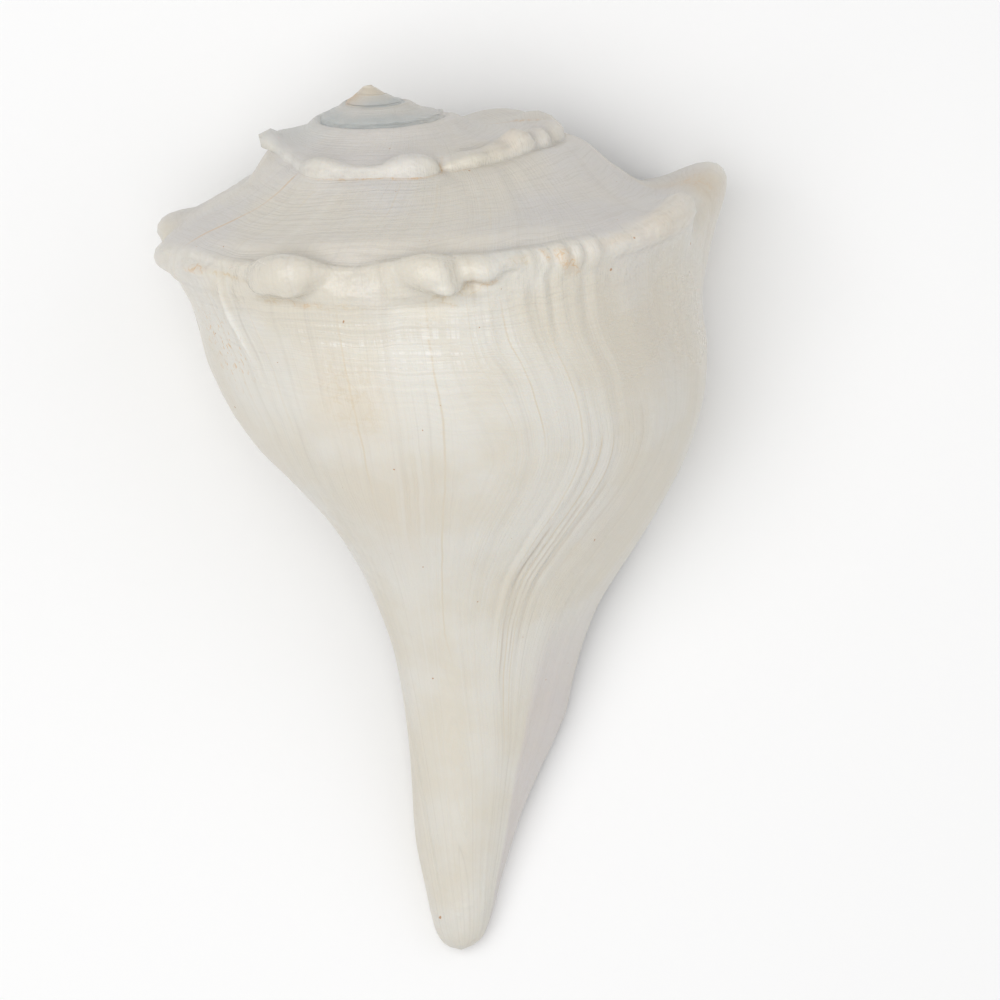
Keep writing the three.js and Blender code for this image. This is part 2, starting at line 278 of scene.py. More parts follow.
def relief(angle, s, turn):
    """mm out from the smooth wall: lumps and folds on the last turn, a rim on the turn before,
    beads on the first ones, growth ripples, and threads along the coil. Ripples and threads
    are sums of sines with a fixed seed."""
    size = GROWTH ** ((angle - FULL_SIZE) / 360)
    out = np.zeros(np.broadcast(angle, s).shape)
    if turn == 0:
        for at, high, wide, start, end, part in FOLDS:
            # it wavers, fades at both ends, and is crisp at the shoulder and at the neck
            bend = 0.9 * np.sin(11 * s + 2.3 * at) + 0.35 * np.sin(47 * s + 5.1 * at)
            course = at + part * sway(s) + ease((s - 0.26) / 0.1) * bend
            along = ease((s - start) / 0.06) * (1 - ease((s - end + 0.12) / 0.12))
            uneven = 1 + 0.35 * np.sin(23 * s + 1.7 * at) + 0.3 * np.sin(51 * s + at)
            crisp = 0.45 + 0.75 * hump(s, 0.26, 0.08) + 0.55 * hump(s, 0.62, 0.08)
            out = out + high * hump(angle + lean(s), course, wide) * along * uneven * crisp
    for at, place, high, wide, tall, tilt in {0: LUMPS, 1: RIM}.get(turn, []):
        degrees_off = angle + 360 * turn - tilt * (s - place) - at
        out = out + high * egg(degrees_off / wide, (s - place) / tall)
    if turn > 1:
        bead = 0.5 + 0.5 * np.cos(angle * BEADS * DEG)
        out = out + BEAD_HIGH * size * bead * hump(s, 0.2, 0.05)
    random = np.random.default_rng(11)
    ripple = np.zeros_like(out)
    lines = growth_angle(angle, s)
    for _ in range(RIPPLES):
        n = random.uniform(0.12, 0.95)
        phase, weave = random.uniform(0, 6.28), random.uniform(-8, 8)
        ripple = ripple + np.sin(n * lines + phase + weave * s) / (n * 6)
    ripple = RIPPLE_HIGH * ripple
    out = out + ripple * size * ease(s / 0.04) * (1 - 0.6 * ease((s - 0.6) / 0.2))
    thread = np.zeros_like(out)
    for _ in range(THREADS):
        n = random.uniform(60, 150)
        phase, weave = random.uniform(0, 6.28), random.uniform(0.01, 0.05)
        thread = thread + np.sin(n * s + phase + 1.2 * np.sin(weave * angle + phase))
    out = out + THREAD_HIGH * thread * size * (1 - ease((s - 0.8) / 0.1))
    return out * (1 - ease((s - 0.93) / 0.06))


def cylinder(angle, radius, drop):
    """Points at (radius sin, -drop, radius cos) of the angle, in the shell's own axes."""
    return np.stack([radius * np.sin(angle * DEG), -drop, radius * np.cos(angle * DEG)], -1)


def smooth_wall(angle, s):
    """The grown surface without its relief: radius and drop at the angle plus the lean."""
    return cylinder(angle + lean(s), *grown(angle, s))


def wall(angle, s, turn):
    """The outside of the wall on a grid: the smooth surface moved along its normal by relief.
    The normal is the cross product of the two surface directions, by small differences."""
    here = smooth_wall(angle, s)
    step_round = smooth_wall(angle + 0.2, s) - here
    nearby = np.where(s > 0.998, s - 0.002, s + 0.002)
    step_along = (smooth_wall(angle, nearby) - here) * np.sign(nearby - s)[..., None]
    normal = np.cross(step_along, step_round)
    normal /= np.linalg.norm(normal, axis=-1, keepdims=True) + 1e-12
    return here + normal * relief(angle, s, turn)[..., None]


# ---------------------------------------------------------------------------------------------
# The shell as one closed surface.
# Spire, last turn, lip, hollow and columella are one sheet with no seam: the mesh follows the
# growth lines, and has twice the rows and columns on each turn as the shell grows.
# ---------------------------------------------------------------------------------------------
COLUMNS = 560  # round the last turn
RAMP_ROWS = 32  # suture to contact line
BODY_ROWS = 103  # contact line to the canal's end
SPIRE_TURNS = 4
SUTURE_GRIP = 6  # power with which a turn leaves the line it is laid on
points = []  # arrays of places, in mm
faces = []  # (numbers, angle, along) arrays, one row for each face


def put(block):
    """Adds an array of points and gives their numbers, in the same shape."""
    first_number = sum(len(flat) for flat in points)
    points.append(block.reshape(-1, 3))
    return first_number + np.arange(len(points[-1])).reshape(block.shape[:-1])


def cells(grid):
    """The four corners of each cell of a grid, in the order that makes the cell face out."""
    corners = [grid[:-1, :-1], grid[:-1, 1:], grid[1:, 1:], grid[1:, :-1]]
    return np.stack(corners, -1).reshape(-1, 4)


def quads(numbers, angle, along):
    """Adds a grid's cells as four-cornered faces."""
    faces.append((cells(numbers), cells(angle), cells(along)))


# Spire, from the first turn to the one before last. Each turn's last row and column are worked
# out at the next turn's spacing, so that the cells there have a fifth corner on that edge.
suture = None  # the line the turn in hand is laid on: numbers and places
first_column = None
for turn in range(SPIRE_TURNS, 0, -1):
    columns, rows = COLUMNS >> turn, RAMP_ROWS >> turn
    start = LIP - 360 * (turn + 1)
    fine_angle = start + 360 * np.arange(2 * columns + 1) / (2 * columns)
    fine_along = CONTACT * np.arange(2 * rows + 1) / (2 * rows)
    angle, along = np.meshgrid(fine_angle, fine_along, indexing="ij")
    place = wall(angle, along, turn)
    if suture is not None:
        hold = (1 - along[::2] / CONTACT) ** SUTURE_GRIP
        place[::2] += (suture[1] - place[::2, 0])[:, None] * hold[..., None]
    numbers = np.full(angle.shape, -1)
    keep = np.zeros(angle.shape, bool)
    keep[::2, ::2] = True
    keep[:, -1] = True
    keep[-1, :] = True
    if suture is None:
        keep[-1, 0] = False
    else:
        keep[::2, 0] = False
        keep[0, ::2] = False
    numbers[keep] = put(place[keep])
    if suture is None:
        numbers[-1, 0] = numbers[0, -1]
        apex_ring = numbers[::2, 0]
        apex_side = numbers[0, ::2]
        apex_place = place[::2, 0]
    else:
        numbers[::2, 0] = suture[0]
        numbers[0, ::2] = first_column
    # plain cells, then those along the contact line, along the last column, and in the corner
    quads(*(g[::2, ::2][:-1, :-1] for g in (numbers, angle, along)))
    grids = (numbers, angle, along)
    faces.append(tuple(
        np.stack([g[:-2:2, -3], g[:-2:2, -1], g[1::2, -1], g[2::2, -1], g[2::2, -3]], -1)[:-1]
        for g in grids
    ))
    faces.append(tuple(
        np.stack([g[-3, :-2:2], g[-3, 2::2], g[-1, 2::2], g[-1, 1::2], g[-1, :-2:2]], -1)[:-1]
        for g in grids
    ))
    faces.append(tuple(
        np.stack([g[-3, -3], g[-3, -1], g[-2, -1], g[-1, -1], g[-1, -2], g[-1, -3]])[None]
        for g in grids
    ))
    suture = (numbers[:, -1], place[:, -1])
    first_column = numbers[-1]

# the cap over the first turn: a fan from the apex to the first turn's inner edge
CAP_HIGH = 0.25
apex = put(apex_place.mean(0)[None] + [0, CAP_HIGH, 0])[0]
ring = np.concatenate([apex_ring, apex_side[::-1][1:]])
fan = np.stack([np.full(len(ring) - 1, apex), ring[:-1], ring[1:]], -1)
first_angle = LIP - 360 * (SPIRE_TURNS + 1)
faces.append((fan, np.full(fan.shape, first_angle), np.zeros(fan.shape)))

# The last turn, with the whole outline
ROWS_CLOSER = 0.40  # how much closer the rows lie at the shoulder and at the canal's end
body_step = np.arange(1, BODY_ROWS + 1) / BODY_ROWS
body_step = body_step - ROWS_CLOSER * np.sin(2 * np.pi * body_step) / (2 * np.pi)
body_along = CONTACT + (1 - CONTACT) * body_step
last_along = np.concatenate([CONTACT * np.arange(RAMP_ROWS + 1) / RAMP_ROWS, body_along])
last_angle = LIP - 360 + 360 * np.arange(COLUMNS + 1) / COLUMNS
angle, along = np.meshgrid(last_angle, last_along, indexing="ij")
place = wall(angle, along, 0)
hold = np.maximum(0, 1 - along / CONTACT) ** SUTURE_GRIP
place += (suture[1] - place[:, 0])[:, None] * hold[..., None]
keep = np.ones(angle.shape, bool)
keep[:, 0] = False
keep[:, -1] = False
keep[0, : RAMP_ROWS + 1] = False
numbers = np.full(angle.shape, -1)
numbers[keep] = put(place[keep])
numbers[:, 0] = suture[0]
numbers[0, : RAMP_ROWS + 1] = first_column
numbers[:, -1] = put(np.array([[0.0, -OUTLINE[-1, 2], 0.0]]))[0]
quads(numbers[:, :-1], angle[:, :-1], along[:, :-1])
faces.append(tuple(
    np.stack([g[:-1, -2], g[:-1, -1], g[1:, -2]], -1) for g in (numbers, angle, along)
))
outer_edge, outer_first = numbers[-1], numbers[0]
edge_place, first_place = place[-1], place[0]

# The hollow: the turn before, carried on under the last one, and the inner face of the last
# turn, which lies a wall's thickness inside the outer one and meets it at both edges.
HOLLOW_COLUMNS = 84
HOLLOW_DEPTH = 290.0  # degrees from the lip to where the hollow closes
CLOSES_OVER = 70.0
CANAL_SHUTS = 170.0  # degrees back at which the hollow has left the canal
BODY_FLOOR = 0.52  # how far along the outline it reaches from there on
LIP_THICK = 1.7  # mm at the growing edge
WALL_THICK = 3.4
THICKENS_OVER = 35.0
ROOF_SHARE = 0.9  # of the wall's thickness, under the ramp
MOUTH = 25.0  # degrees from the lip over which the outside's look gives way to the hollow's
WITHOUT_LUMPS = 9  # the turn to name for a wall with no lumps or folds
TOP_ROW = RAMP_ROWS + 2
END_ROW = len(last_along) - 6


def share(s):
    """The outline's part below the contact line, counted from 0 to 1."""
    return (s - CONTACT) / (1 - CONTACT)


back = HOLLOW_DEPTH * (np.arange(HOLLOW_COLUMNS + 1) / HOLLOW_COLUMNS)[:, None]
across = share(last_along[TOP_ROW : END_ROW + 1])
across = (across - across[0]) / (across[-1] - across[0])
first, last = share(last_along[TOP_ROW]), share(last_along[END_ROW])
lower_end = last + (BODY_FLOOR - last) * ease(back / CANAL_SHUTS)
outer_s = first + (lower_end - first) * across
under_s = CONTACT + (1 - CONTACT) * outer_s
outer_r, outer_d = grown(LIP - back + 0 * outer_s, outer_s)
under_r, under_d = grown(LIP - 360 - back + 0 * outer_s, under_s)
gap = np.hypot(outer_r - under_r, outer_d - under_d)
thick = LIP_THICK + (WALL_THICK - LIP_THICK) * ease(back / THICKENS_OVER)
ends = np.sin(np.pi / 2 * np.minimum(1, np.minimum(across, 1 - across) / 0.10)) ** 0.7
closing = 1 - ease((back - HOLLOW_DEPTH + CLOSES_OVER) / CLOSES_OVER)
open_by = np.clip(1 - thick / np.maximum(gap, 1e-6), 0, 1) * ends * closing
middle = ease(across / 0.12) * ease((1 - across) / 0.12)
turned = LIP - back + lean(under_s) + (lean(outer_s) - lean(under_s)) * middle
inner_r = under_r + (outer_r - under_r) * open_by
inner_d = under_d + (outer_d - under_d) * open_by
# the roof of the hollow keeps its thickness below the ramp, measured along the axis
ramp_s = last_along[None, : RAMP_ROWS + 4]
ramp = wall(LIP - back + 0 * ramp_s, ramp_s + 0 * back, 0)
ramp_r = np.maximum.accumulate(np.hypot(ramp[..., 0], ramp[..., 2]), axis=1)
roof = np.stack([np.interp(*line) for line in zip(inner_r, ramp_r, -ramp[..., 1])])
too_high = np.maximum(0, roof + ROOF_SHARE * thick - inner_d)
inner_d = inner_d + too_high * closing * ease(across / 0.02)
over = cylinder(turned, inner_r, inner_d)
# the relief of the turn before fades out on the way in
under = wall(LIP - 360 - back + 0 * outer_s, under_s, WITHOUT_LUMPS)
plain_under = cylinder(LIP - 360 - back + lean(under_s), under_r, under_d)
under = plain_under + (under - plain_under) * (1 - ease(back / MOUTH))[..., None]

under_numbers = np.full(gap.shape, -1)
under_numbers[1:] = put(under[1:])
under_numbers[0] = outer_first[TOP_ROW : END_ROW + 1]
over_numbers = under_numbers.copy()
over_numbers[:-1, 1:-1] = put(over[:-1, 1:-1])
inner_angle = LIP - back + 0 * gap
quads(over_numbers, inner_angle, outer_s)
quads(under_numbers[::-1], inner_angle[::-1] - 360, under_s[::-1])

# The lip's edge: a rounded strip from the outer face to the inner one. Its rows come from both
# faces in the order of their places along the outline.
chain = np.concatenate([
    outer_first[RAMP_ROWS:TOP_ROW], over_numbers[0], outer_first[END_ROW + 1 :],
])
chain_s = np.concatenate([
    share(last_along[RAMP_ROWS:TOP_ROW]), outer_s[0], share(last_along[END_ROW + 1 :]),
])
inner_side = np.concatenate(points)[chain]
outer_side = np.stack([np.interp(chain_s, last_along, edge_place[:, k]) for k in range(3)], -1)
between = np.linalg.norm(inner_side - outer_side, axis=-1, keepdims=True)
ahead = (LIP + lean(chain_s)) * DEG
forward = np.stack([np.cos(ahead), 0 * ahead, -np.sin(ahead)], -1)
rounding = np.minimum(0.4 * between, 0.8)  # mm the middle of the edge stands forward
middle_line = (inner_side + outer_side) / 2 + forward * rounding
lip_line = chain.copy()
lip_line[1:-1] = put(middle_line[1:-1])
order = np.argsort(np.concatenate([last_along[1:], chain_s[1:]]), kind="stable")
from_outer = order < len(last_along) - 1
a = np.cumsum(from_outer)
b = np.cumsum(~from_outer)
strip = np.where(
    from_outer[:, None],
    np.stack([outer_edge[a - from_outer], outer_edge[a], lip_line[b]], -1),
    np.stack([outer_edge[a], lip_line[b], lip_line[b - ~from_outer]], -1),
)
strip_s = np.repeat(last_along[a][:, None], 3, 1)
whole = (strip[:, 0] != strip[:, 1]) & (strip[:, 1] != strip[:, 2]) & (strip[:, 0] != strip[:, 2])
faces.append((strip[whole], np.full(strip.shape, LIP)[whole], strip_s[whole]))
rim = np.stack([lip_line[:-1], lip_line[1:], chain[1:], chain[:-1]], -1)
rim_s = np.stack([chain_s[:-1], chain_s[1:], chain_s[1:], chain_s[:-1]], -1)
faces.append((rim[1:-1], np.full(rim.shape, LIP)[1:-1], rim_s[1:-1]))
faces.append((rim[:1, :3], np.full((1, 3), LIP), rim_s[:1, :3]))
faces.append((rim[-1:, [0, 1, 3]], np.full((1, 3), LIP), rim_s[-1:, [0, 1, 3]]))

# Laid down: the axis dips to the canal and leans on the lip; the worn spots are cut flat.
APEX = np.array([-11.4, 84.4, 40.5])  # mm
DIP, ROLL = 12.62, 1.1  # degrees
FLAT = 0.02  # mm above the floor
dip, roll = DIP * DEG, ROLL * DEG
turn_x = np.array([[1, 0, 0], [0, np.cos(dip), -np.sin(dip)], [0, np.sin(dip), np.cos(dip)]])
turn_y = np.array([[np.cos(roll), 0, np.sin(roll)], [0, 1, 0], [-np.sin(roll), 0, np.cos(roll)]])
places = np.concatenate(points) @ (turn_y @ turn_x).T + APEX
places[:, 2] = np.maximum(places[:, 2], FLAT)

mesh = bpy.data.meshes.new("shell_wall")
corner_numbers = np.concatenate([f[0].ravel() for f in faces]).astype(np.int32)
sizes = np.concatenate([np.full(len(f[0]), f[0].shape[1]) for f in faces]).astype(np.int32)
mesh.vertices.add(len(places))
mesh.vertices.foreach_set("co", (places / 1000).astype(np.float32).ravel())
mesh.loops.add(len(corner_numbers))
mesh.loops.foreach_set("vertex_index", corner_numbers)
mesh.polygons.add(len(sizes))
loop_starts = (np.cumsum(sizes) - sizes).astype(np.int32)
mesh.polygons.foreach_set("loop_start", loop_starts)
mesh.polygons.foreach_set("use_smooth", np.ones(len(sizes), bool))
growth_map = mesh.uv_layers.new(name="growth")
corner_angle = np.concatenate([f[1].ravel() for f in faces])
corner_along = np.concatenate([f[2].ravel() for f in faces])
growth_uv = np.stack([growth_angle(corner_angle, corner_along) / 360, corner_along], -1)
growth_map.data.foreach_set("uv", growth_uv.astype(np.float32).ravel())
mesh.update(calc_edges=True)
mesh.validate()

# how far inside the mouth a point is: 0 outside, 1 within the hollow
inside = np.zeros(len(places))
inside[under_numbers] = ease(back / MOUTH) + 0 * gap
inside[over_numbers[:, 1:-1]] = ease(back / MOUTH) + 0 * gap[:, 1:-1]
inside_attribute = mesh.attributes.new("inside", "FLOAT", "POINT")
inside_attribute.data.foreach_set("value", inside.astype(np.float32))

shell = bpy.data.objects.new("shell_wall", mesh)
bpy.context.scene.collection.objects.link(shell)

# ---------------------------------------------------------------------------------------------
# The shell's finish.
# Weathered, washed shell: ivory white with a soft gloss, fine growth lines down the wall and
# finer threads along the coil, a few tan lines, and rust in the creases of the shoulder.
# ---------------------------------------------------------------------------------------------
finish = bpy.data.materials.new("washed_shell")
finish.use_nodes = True
nodes, links = finish.node_tree.nodes, finish.node_tree.links
nodes.clear()


def node(kind, **values):
    """A new node of that kind, with its properties and unlinked sockets set by name."""
    made = nodes.new(kind)
    for name, value in values.items():
        if name in made.inputs:
            made.inputs[name].default_value = value
        else:
            setattr(made, name, value)
    return made


def feed(slot, value):
    """Links an output to the slot, or sets the slot to a number or a colour."""
    if hasattr(value, "links"):
        links.new(value, slot)
    else:
        slot.default_value = value


def math(operation, *values, clamp=False):
    """The output of a Math node over numbers and outputs."""
    made = nodes.new("ShaderNodeMath")
    made.operation = operation
    made.use_clamp = clamp
    for slot, value in zip(made.inputs, values):
        feed(slot, value)
    return made.outputs[0]


def times(*values):
    """The product of numbers and outputs."""
    product = values[0]
    for value in values[1:]:
        product = math("MULTIPLY", product, value)
    return product


def band(value, low, high, to_low=0.0, to_high=1.0):
    """value eased from to_low at low to to_high at high."""
    made = nodes.new("ShaderNodeMapRange")
    made.interpolation_type = "SMOOTHSTEP"
    links.new(value, made.inputs["Value"])
    ends = {"From Min": low, "From Max": high, "To Min": to_low, "To Max": to_high}
    for name, number in ends.items():
        made.inputs[name].default_value = number
    return made.outputs["Result"]


def tint(under, colour, amount):
    """under mixed towards a colour by amount."""
    made = nodes.new("ShaderNodeMix")
    made.data_type = "RGBA"
    for number, value in ((0, amount), (6, under), (7, colour)):
        feed(made.inputs[number], value)
    return made.outputs[2]


def noise(vector, scale, detail=3.0, rough=0.5):
    """A noise texture's value over a vector."""
    made = nodes.new("ShaderNodeTexNoise")
    made.inputs["Scale"].default_value = scale
    made.inputs["Detail"].default_value = detail
    made.inputs["Roughness"].default_value = rough
    links.new(vector, made.inputs["Vector"])
    return made.outputs[0]


def along_growth(u_scale, v_scale, shift=0.0):
    """A vector over the growth map: degrees times u_scale plus shift, place along times
    v_scale."""
    made = nodes.new("ShaderNodeCombineXYZ")
    links.new(math("MULTIPLY_ADD", wavy_degrees, u_scale, shift), made.inputs[0])
    links.new(times(place_along, v_scale), made.inputs[1])
    return made.outputs[0]


def patch(at, along, wide, tall):
    """1 at a place on the growth map falling to 0 at half widths wide (degrees) and tall."""
    across = times(math("SUBTRACT", rough_degrees, at), 1 / wide)
    down = times(math("SUBTRACT", rough_along, along), 1 / tall)
    far = math("SQRT", math("ADD", times(across, across), times(down, down)))
    return band(far, 0.0, 1.5, 1.0, 0.0)


def growth_line(at, wide, start, end):
    """1 on the growth line that starts at that angle, between two places along the outline."""
    line = band(math("ABSOLUTE", math("SUBTRACT", wavy_degrees, at)), 0.0, wide, 1.0, 0.0)
    fade = min(0.05, (end - start) / 3)
    begun = band(place_along, start, start + 0.02)
    not_over = band(place_along, end - fade, end, 1.0, 0.0)
    return times(line, begun, not_over)


growth = node("ShaderNodeUVMap", uv_map="growth")
split = node("ShaderNodeSeparateXYZ")
links.new(growth.outputs["UV"], split.inputs["Vector"])
place_along = split.outputs["Y"]
real_place = node("ShaderNodeTexCoord").outputs["Object"]
# growth lines waver a little, and stains have ragged edges
slow = noise(real_place, 30.0)
ragged = noise(real_place, 260.0, 4.0)
plain_degrees = times(split.outputs["X"], 360.0)
wavy_degrees = math("ADD", plain_degrees, math("MULTIPLY_ADD", slow, 5.0, -2.5))
rough_degrees = math("ADD", plain_degrees, math("MULTIPLY_ADD", ragged, 7.0, -3.5))
rough_along = math("ADD", place_along, math("MULTIPLY_ADD", ragged, 0.024, -0.012))

IVORY = (0.730, 0.685, 0.590, 1)
CHALK = (0.765, 0.740, 0.675, 1)
CLAY = (0.56, 0.52, 0.455, 1)
SHADE = (0.60, 0.575, 0.56, 1)
TAN = (0.63, 0.49, 0.28, 1)
BROWN = (0.50, 0.42, 0.33, 1)
RUST = (0.46, 0.22, 0.08, 1)
BLUE_GREY = (0.555, 0.575, 0.56, 1)
PALE_GREY = (0.62, 0.64, 0.62, 1)
CREAM = (0.78, 0.68, 0.53, 1)
ORANGE = (0.66, 0.40, 0.15, 1)
LAVENDER = (0.64, 0.585, 0.59, 1)
# the pale colour of painted highlights and glints
PAINTED_HIGHLIGHT = (0.90, 0.88, 0.83, 1)

# ivory and chalk clouds, with broad and fine streaks down the growth lines, fewer on the canal
cloud = noise(real_place, 45.0, 4.0)
canal_fade = band(place_along, 0.60, 0.80, 1.0, 0.5)
colour = tint(IVORY, CHALK, band(cloud, 0.40, 0.62))
streak = noise(along_growth(0.30, 1.6), 1.0, 5.0, 0.62)
colour = tint(colour, CLAY, band(streak, 0.50, 0.74, 0.0, 0.34))
pale_streak = noise(along_growth(0.22, 0.8, shift=57.0), 1.0, 5.0, 0.65)
colour = tint(colour, CHALK, times(band(pale_streak, 0.54, 0.70, 0.0, 0.7), canal_fade))
fine_streak = noise(along_growth(1.6, 3.0, shift=11.0), 1.0, 4.0, 0.6)
colour = tint(colour, CLAY, times(band(fine_streak, 0.56, 0.74, 0.0, 0.20), canal_fade))

# the ramp is painted greyer than the body, partly its own grey tone and partly painted shade where
# it turns away from the light; the canal's right side has a lavender cast
on_ramp = band(place_along, 0.20, 0.222, 1.0, 0.0)
ramp_grey_and_shade = times(band(place_along, 0.03, 0.20, 0.45, 0.75), on_ramp)
colour = tint(colour, SHADE, times(ramp_grey_and_shade, band(cloud, 0.35, 0.65, 0.35, 0.75)))
# the lavender cast is partly the canal's own tint and partly painted shade on its side turned from
# the light
canal_side_tint_and_shade = times(band(plain_degrees, 54.0, 61.0), band(place_along, 0.62, 0.74))
colour = tint(colour, LAVENDER, times(canal_side_tint_and_shade, 0.50))

# thin tan growth lines all over, where a noise crosses 0.55
tan_noise = noise(along_growth(0.11, 0.05, shift=31.0), 1.0, 4.0, 0.7)
tan_lines = band(math("ABSOLUTE", math("SUBTRACT", tan_noise, 0.55)), 0.0, 0.006, 1.0, 0.0)
colour = tint(colour, TAN, times(tan_lines, band(cloud, 0.42, 0.60, 0.05, 0.5), 0.35))

# single growth lines, with a painted highlight and a painted shade among them: degrees, half width
# in degrees, start and end along, colour, amount
GROWTH_LINES = (
    # two tan ones in front, and those on the ramp
    (6.5, 0.42, 0.27, 0.72, TAN, 0.34), (-13.0, 0.45, 0.28, 0.58, TAN, 0.36),
    (3.3, 0.9, 0.02, 0.20, TAN, 0.30), (20.5, 0.9, 0.02, 0.19, TAN, 0.28),
    (-34.0, 2.6, 0.03, 0.21, CHALK, 0.50), (-11.0, 0.35, 0.02, 0.20, TAN, 0.30),
    (-62.0, 0.9, 0.0, 0.22, ORANGE, 0.55), (-45.0, 0.5, 0.03, 0.20, TAN, 0.30),
    # along the bundle of folds
    (31.0, 0.4, 0.30, 0.72, TAN, 0.25), (36.0, 0.5, 0.45, 0.80, TAN, 0.40),
    (39.5, 0.4, 0.45, 0.80, TAN, 0.35), (33.5, 0.9, 0.55, 0.74, BROWN, 0.50),
    (38.0, 0.7, 0.52, 0.72, BROWN, 0.45), (42.0, 0.8, 0.50, 0.70, BROWN, 0.35),
    (48.0, 1.0, 0.42, 0.66, BROWN, 0.25),
    # painted highlight along the polished ridge on the left, and painted shade in the hollow beside
    # it
    (-46.0, 0.9, 0.25, 0.40, PAINTED_HIGHLIGHT, 0.65), (-43.0, 0.8, 0.25, 0.42, CLAY, 0.40),
    # below the pair of knobs
    (16.2, 0.8, 0.21, 0.30, BROWN, 0.30), (21.5, 0.35, 0.28, 0.48, TAN, 0.35),
)
broken = band(cloud, 0.38, 0.60, 0.35, 1.0)
for at, wide, start, end, shade, amount in GROWTH_LINES:
    colour = tint(colour, shade, times(growth_line(at, wide, start, end), broken, amount))

# stains, and a few patches of painted shade: degrees, along, half width in degrees, half width
# along, colour, amount
STAINS_AND_SHADE = (
    # rust in the broken edge below the pair of knobs and where the folds cross the shoulder
    (19.0, 0.257, 3.6, 0.008, ORANGE, 0.50), (14.5, 0.268, 3.2, 0.007, TAN, 0.45),
    (10.5, 0.282, 2.0, 0.012, TAN, 0.35), (37.5, 0.243, 1.8, 0.018, ORANGE, 0.55),
    (33.6, 0.230, 1.2, 0.010, ORANGE, 0.50), (27.0, 0.232, 3.5, 0.006, TAN, 0.40),
    # cream on the low knob before the lip
    (50.0, 0.226, 6.0, 0.010, CREAM, 0.50), (62.0, 0.224, 8.0, 0.020, CREAM, 0.40),
    # under the left knob
    (-30.0, 0.276, 5.0, 0.007, TAN, 0.40), (-22.0, 0.282, 5.0, 0.006, ORANGE, 0.35),
    (-12.0, 0.286, 8.0, 0.005, TAN, 0.25), (-53.0, 0.240, 6.0, 0.007, ORANGE, 0.55),
    (-42.0, 0.246, 8.0, 0.006, TAN, 0.50), (-74.0, 0.264, 7.0, 0.010, ORANGE, 0.25),
    # the ear, with a brown patch that is partly a warm tone and partly painted shade in its inner
    # crease
    (92.0, 0.22, 7.0, 0.08, CREAM, 0.35), (91.0, 0.20, 6.0, 0.07, BROWN, 0.30),
    (91.0, 0.20, 2.5, 0.03, ORANGE, 0.25),
    # broad warm places on the body
    (-72.0, 0.30, 9.0, 0.05, CREAM, 0.20), (-16.0, 0.42, 14.0, 0.07, CREAM, 0.30),
    (-14.0, 0.41, 9.0, 0.06, TAN, 0.20), (-8.0, 0.55, 16.0, 0.08, CREAM, 0.25),
    # the suture in front, and the turn before: its notch, rim and knobs
    (-15.0, 0.002, 34.0, 0.007, ORANGE, 0.60), (-331.0, 0.235, 1.3, 0.04, ORANGE, 0.60),
    (-375.0, 0.225, 42.0, 0.035, CHALK, 0.55), (-300.0, 0.20, 12.0, 0.03, CREAM, 0.40),
    (-265.0, 0.16, 1.2, 0.06, ORANGE, 0.40),
    # painted shade: the right side, turned away from the light, is darkened with brown
    (58.0, 0.34, 20.0, 0.12, BROWN, 0.16),
)
# rust and tan gather in hairlines, where a noise crosses its middle value
hair_noise = math("ABSOLUTE", math("SUBTRACT", noise(real_place, 330.0, 3.0, 0.6), 0.5))
hairs = band(hair_noise, 0.0, 0.05, 1.35, 0.40)
for at, along, wide, tall, shade, amount in STAINS_AND_SHADE:
    stain_and_shade = times(patch(at, along, wide, tall), amount)
    if shade in (ORANGE, TAN):
        stain_and_shade = times(stain_and_shade, hairs)
    colour = tint(colour, shade, stain_and_shade)

# short rust dashes on the left
dash_noise = noise(along_growth(1.3, 90.0, shift=5.0), 1.0, 2.0, 0.6)
left_dashes = times(patch(-58.0, 0.37, 12.0, 0.06), band(dash_noise, 0.60, 0.64))
colour = tint(colour, ORANGE, times(left_dashes, 0.85))

# painted highlight: pale glint dashes where the threads cross the growth lines, below the shoulder
on_thread = band(noise(along_growth(0.05, 170.0, shift=23.0), 1.0, 2.0), 0.50, 0.60)
on_line = band(noise(along_growth(1.5, 7.0, shift=41.0), 1.0, 2.0), 0.48, 0.58)
glint_patch_left = patch(-11.0, 0.345, 18.0, 0.050)
glint_patch_right = patch(13.0, 0.335, 15.0, 0.042)
glints = times(on_thread, on_line, math("ADD", glint_patch_left, glint_patch_right, clamp=True))
colour = tint(colour, PAINTED_HIGHLIGHT, times(glints, 0.55))

# rare rust specks, and a faint lavender cast in clouds
specks = noise(real_place, 560.0, 1.0)
colour = tint(colour, RUST, band(specks, 0.800, 0.82, 0.0, 0.8))
cast = noise(real_place, 22.0)
colour = tint(colour, LAVENDER, band(cast, 0.50, 0.68, 0.0, 0.15))


def from_to(start, full, fading, gone):
    """1 between two angles of the coil: it comes over start..full and goes over fading..gone."""
    return times(band(plain_degrees, start, full), band(plain_degrees, fading, gone, 1.0, 0.0))


# the first whorls are worn to blue-grey, under a cream cap with an orange ring
grey_whorl = times(
    from_to(-1130.0, -1060.0, -700.0, -600.0),
    band(ragged, 0.25, 0.55, 0.6, 1.0),
    band(place_along, 0.05, 0.17, 0.35, 1.0),
)
colour = tint(colour, BLUE_GREY, grey_whorl)
colour = tint(colour, PALE_GREY, times(from_to(-660.0, -560.0, -470.0, -380.0), 0.5))
colour = tint(colour, ORANGE, times(from_to(-1330.0, -1290.0, -1180.0, -1110.0), 0.45))
colour = tint(colour, CREAM, band(plain_degrees, -1330.0, -1260.0, 0.6, 0.0))

# the hollow is smooth and cream
in_hollow = node("ShaderNodeAttribute", attribute_name="inside").outputs["Fac"]
colour = tint(colour, CREAM, times(in_hollow, 0.75))

